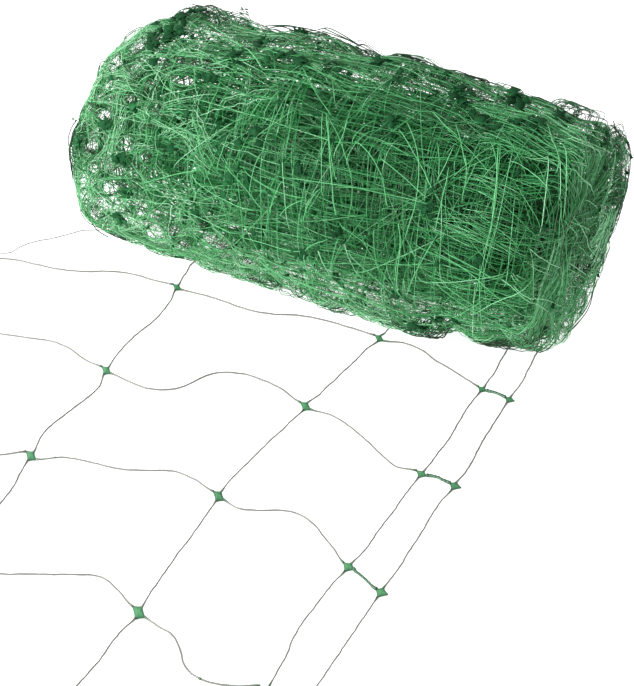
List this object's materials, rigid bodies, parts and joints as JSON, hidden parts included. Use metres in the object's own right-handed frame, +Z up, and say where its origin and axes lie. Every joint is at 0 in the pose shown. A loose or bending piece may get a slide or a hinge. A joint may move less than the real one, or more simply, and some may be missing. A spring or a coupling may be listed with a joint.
{
  "type": "bird netting roll",
  "caption": "Loosely wound roll of wide-mesh green plastic bird netting lying on a floor, its loose end spread flat in front with a close-corded selvedge.",
  "frame": {"origin": "on the floor, on the flat spot under the wound roll, below its axis", "axes": "+X along the roll's axis toward the end beside the selvedge, -Y toward the loose end of the net, +Z up"},
  "size_m": [0.6069, 0.8413, 0.2506],
  "materials": {
    "wound_netting": "stretched green plastic strands, wound in a loose tangle, slightly see-through at the left end",
    "loose_netting": "thin satin green plastic strands with brighter flat knots"
  },
  "bodies": {
    "root": {"roll": "wound_netting", "net_tail": "loose_netting"}
  },
  "joints": []
}
